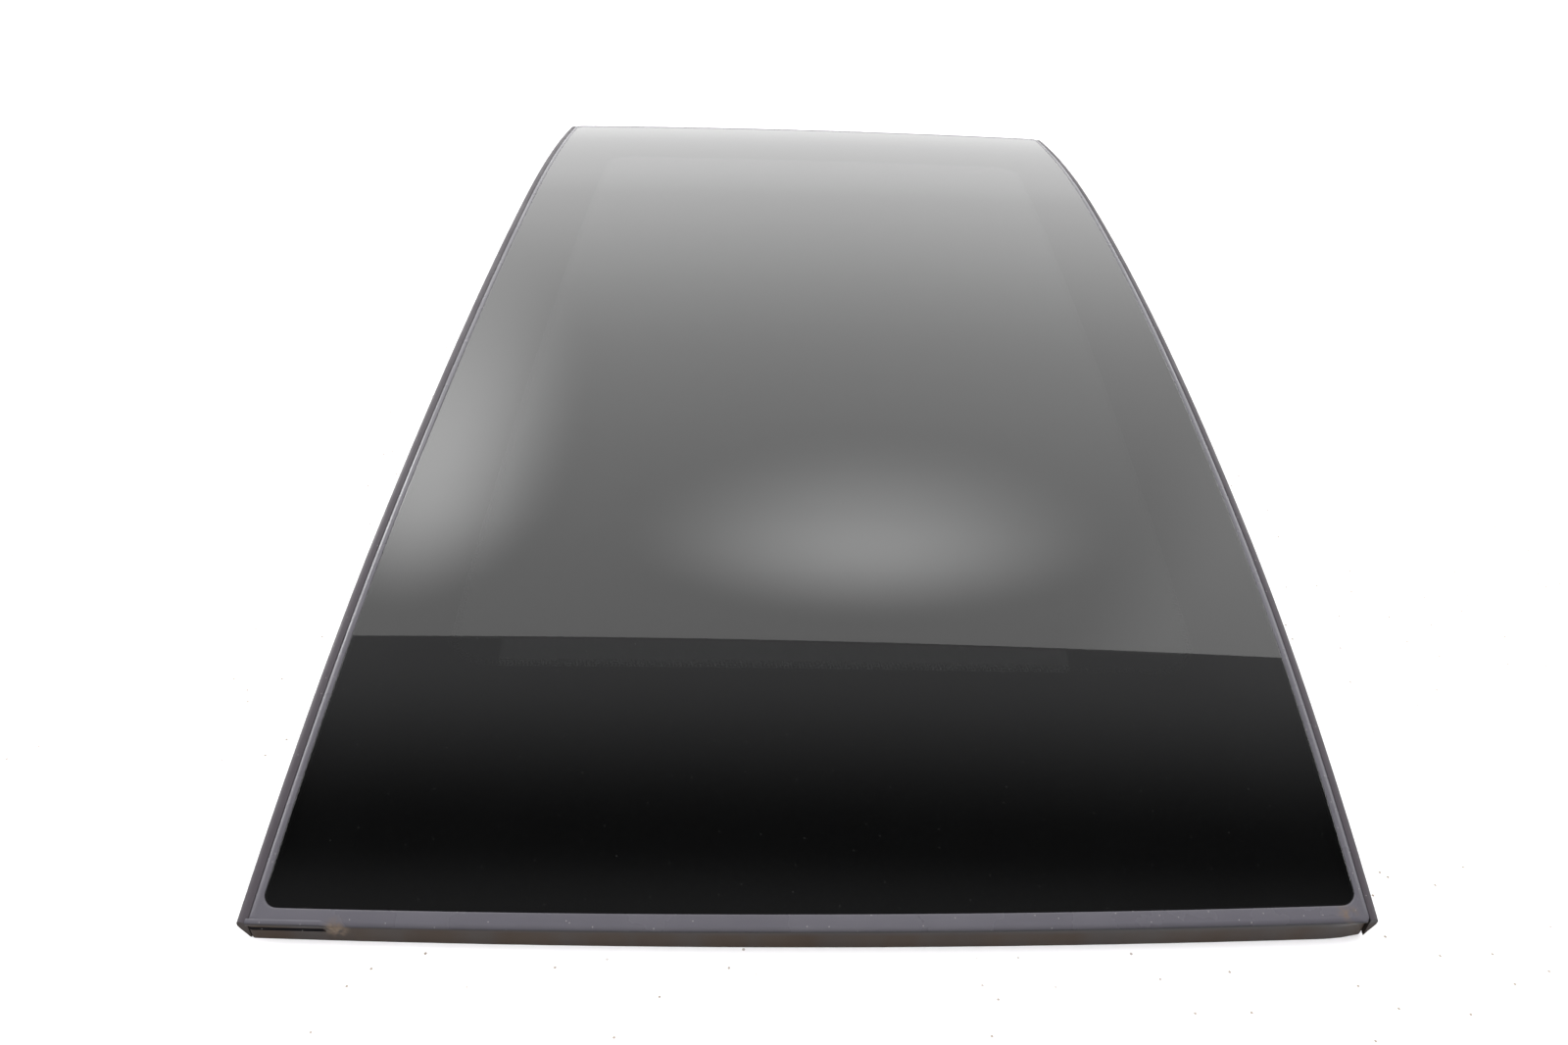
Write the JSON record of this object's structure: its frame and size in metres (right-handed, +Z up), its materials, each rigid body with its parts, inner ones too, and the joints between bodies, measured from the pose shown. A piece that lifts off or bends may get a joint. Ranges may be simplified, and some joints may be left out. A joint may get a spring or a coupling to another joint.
{
  "type": "panoramic sunroof glass",
  "caption": "Curved dark roof glass panel with moulded surround, edge seals and slotted lift brackets bonded beneath.",
  "frame": {"origin": "on the resting surface, under the middle of the panel's overall size", "axes": "+X to the front of the car, +Y to its left, +Z up out of the glass"},
  "size_m": [0.5688, 1.0826, 0.0553],
  "materials": {
    "privacy_glass": "polished",
    "moulded_polyurethane": "satin moulded",
    "edge_rubber": "matt extruded",
    "coated_steel": "black dip coat",
    "urethane_adhesive": "cured bead",
    "zinc_plated_steel": "zinc plated"
  },
  "bodies": {
    "root": {"glass_pane": "privacy_glass", "moulded_surround": "moulded_polyurethane", "front_seal": "edge_rubber", "rear_seal": "edge_rubber", "front_channel": "coated_steel", "rear_channel": "coated_steel", "left_side_rail": "coated_steel", "right_side_rail": "coated_steel", "front_adhesive_bead": "urethane_adhesive", "rear_adhesive_bead": "urethane_adhesive", "left_inner_adhesive_bead": "urethane_adhesive", "left_outer_adhesive_bead": "urethane_adhesive", "right_inner_adhesive_bead": "urethane_adhesive", "right_outer_adhesive_bead": "urethane_adhesive", "left_front_lift_bracket": "zinc_plated_steel", "left_rear_lift_bracket": "zinc_plated_steel", "right_front_lift_bracket": "zinc_plated_steel", "right_rear_lift_bracket": "zinc_plated_steel", "left_bracket_screws": "zinc_plated_steel", "right_bracket_screws": "zinc_plated_steel"}
  },
  "joints": []
}
